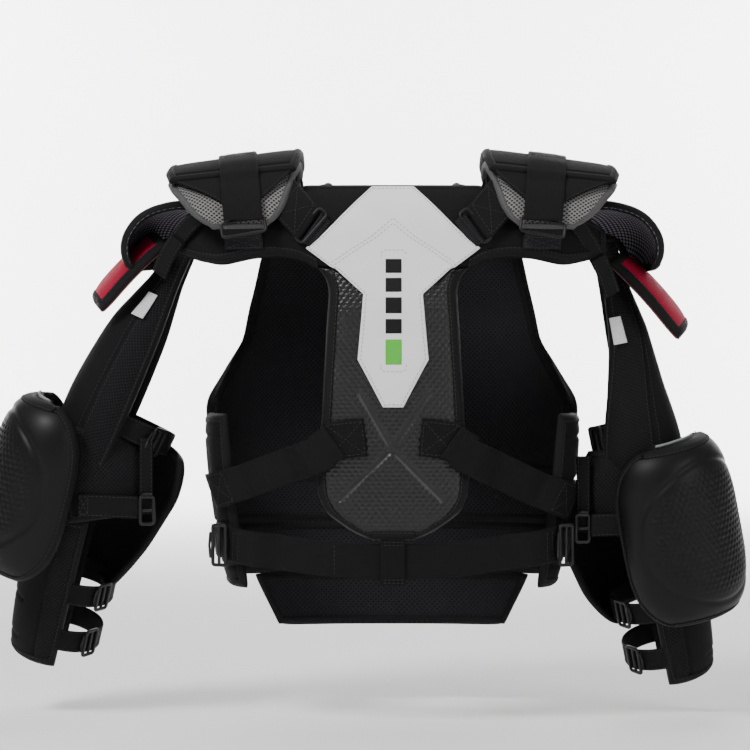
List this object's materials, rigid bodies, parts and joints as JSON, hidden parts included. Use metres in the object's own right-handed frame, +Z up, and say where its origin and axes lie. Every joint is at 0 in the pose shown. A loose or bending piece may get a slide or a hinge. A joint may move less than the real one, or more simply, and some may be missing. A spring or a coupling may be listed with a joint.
{
  "type": "hockey shoulder pads",
  "caption": "Goalkeeper's padded chest, shoulder and arm protector with floating shoulder caps, hinged arms, elbow caps and elastic back straps.",
  "frame": {"origin": "on the wearer's midline at the height of the collar's rear edge, half way between back and chest", "axes": "+Y the way the wearer faces, +X the wearer's right, +Z up"},
  "size_m": [0.7895, 0.278, 0.5575],
  "materials": {
    "lining": "dark brushed nylon lining",
    "foam": "closed cell foam sheet",
    "black_mesh": "black embossed foam-backed fabric",
    "black_cover": "black woven nylon cover with bound edges",
    "white_leather": "off-white synthetic leather, stitched",
    "badge": "blank printed badge",
    "webbing": "black woven elastic webbing",
    "hardware": "black moulded acetal",
    "plate": "moulded polyethylene insert",
    "grey_mesh": "grey air mesh",
    "grey_shell": "grey synthetic leather over moulded foam",
    "red_mesh": "red air mesh",
    "black_shell": "black synthetic leather with raised dots"
  },
  "bodies": {
    "torso": {"spine_liner": "lining", "spine_foam": "foam", "spine_cover": "black_mesh", "yoke_foam": "foam", "yoke_cover": "black_mesh", "yoke_overlay": "white_leather", "back_badge": "badge", "strap_tabs": "webbing", "diagonal_strap_left": "webbing", "diagonal_strap_right": "webbing", "waist_strap": "webbing", "waist_loop": "webbing", "waist_buckles": "hardware", "chest_liner": "lining", "chest_foam": "foam", "sternum_plate": "plate", "chest_cover": "black_cover", "pec_blocks": "white_leather", "belly_upper": "black_cover", "belly_middle": "white_leather", "rib_pad_left": "black_cover", "rib_pad_right": "black_cover", "shoulder_straps": "black_cover", "anchor_tabs": "webbing", "anchor_rings": "hardware"},
    "floater_left": {"floater_pad_left": "grey_mesh", "floater_plate_left": "black_shell", "floater_strap_left": "webbing"},
    "shoulder_left": {"deltoid_cap_left": "grey_shell", "deltoid_lining_left": "lining", "bicep_plate_left": "red_mesh"},
    "upper_arm_left": {"upper_arm_pad_left": "black_cover", "upper_arm_liner_left": "lining", "bicep_strap_left": "webbing", "bicep_buckle_left": "hardware"},
    "forearm_left": {"forearm_pad_left": "black_cover", "forearm_liner_left": "lining", "forearm_wing_left": "grey_mesh", "forearm_straps_left": "webbing", "forearm_buckles_left": "hardware"},
    "elbow_left": {"elbow_cap_left": "black_shell"},
    "floater_right": {"floater_pad_right": "grey_mesh", "floater_plate_right": "black_shell", "floater_strap_right": "webbing"},
    "shoulder_right": {"deltoid_cap_right": "grey_shell", "deltoid_lining_right": "lining", "bicep_plate_right": "red_mesh"},
    "upper_arm_right": {"upper_arm_pad_right": "black_cover", "upper_arm_liner_right": "lining", "bicep_strap_right": "webbing", "bicep_buckle_right": "hardware"},
    "forearm_right": {"forearm_pad_right": "black_cover", "forearm_liner_right": "lining", "forearm_wing_right": "grey_mesh", "forearm_straps_right": "webbing", "forearm_buckles_right": "hardware"},
    "elbow_right": {"elbow_cap_right": "black_shell"},
    "belly_flap": {"belly_lower": "black_cover"}
  },
  "joints": [
    {"name": "arm_lift_left", "type": "hinge", "parent": "torso", "child": "shoulder_left", "pos_m": [-0.215, 0, -0.066], "axis": [0, 1, 0], "range_deg": [0, 40]},
    {"name": "floater_lift_left", "type": "hinge", "parent": "torso", "child": "floater_left", "pos_m": [-0.098, 0, 0.02], "axis": [0, 1, 0], "range_deg": [0, 16]},
    {"name": "arm_swing_left", "type": "hinge", "parent": "shoulder_left", "child": "upper_arm_left", "pos_m": [-0.215, 0, -0.066], "axis": [0.9063, 0, -0.4226], "range_deg": [-20, 25]},
    {"name": "elbow_bend_left", "type": "hinge", "parent": "upper_arm_left", "child": "forearm_left", "pos_m": [-0.31896, 0, -0.28895], "axis": [0.9703, 0, -0.2419], "range_deg": [0, 45]},
    {"name": "elbow_cap_slide_left", "type": "hinge", "parent": "upper_arm_left", "child": "elbow_left", "pos_m": [-0.31896, 0, -0.28895], "axis": [0.9703, 0, -0.2419], "range_deg": [0, 22.5]},
    {"name": "arm_lift_right", "type": "hinge", "parent": "torso", "child": "shoulder_right", "pos_m": [0.215, 0, -0.066], "axis": [0, -1, 0], "range_deg": [0, 40]},
    {"name": "floater_lift_right", "type": "hinge", "parent": "torso", "child": "floater_right", "pos_m": [0.098, 0, 0.02], "axis": [0, -1, 0], "range_deg": [0, 16]},
    {"name": "arm_swing_right", "type": "hinge", "parent": "shoulder_right", "child": "upper_arm_right", "pos_m": [0.215, 0, -0.066], "axis": [0.9816, 0, 0.1908], "range_deg": [-20, 25]},
    {"name": "elbow_bend_right", "type": "hinge", "parent": "upper_arm_right", "child": "forearm_right", "pos_m": [0.26194, 0, -0.30748], "axis": [0.9781, 0, 0.2079], "range_deg": [0, 45]},
    {"name": "elbow_cap_slide_right", "type": "hinge", "parent": "upper_arm_right", "child": "elbow_right", "pos_m": [0.26194, 0, -0.30748], "axis": [0.9781, 0, 0.2079], "range_deg": [0, 22.5]},
    {"name": "belly_fold", "type": "hinge", "parent": "torso", "child": "belly_flap", "pos_m": [0, 0.126, -0.397], "axis": [1, 0, 0], "range_deg": [0, 40]}
  ],
  "couplings": [
    {"joint": "floater_lift_left", "follows": "arm_lift_left", "ratio": 0.4},
    {"joint": "elbow_cap_slide_left", "follows": "elbow_bend_left", "ratio": 0.5},
    {"joint": "floater_lift_right", "follows": "arm_lift_right", "ratio": 0.4},
    {"joint": "elbow_cap_slide_right", "follows": "elbow_bend_right", "ratio": 0.5}
  ]
}
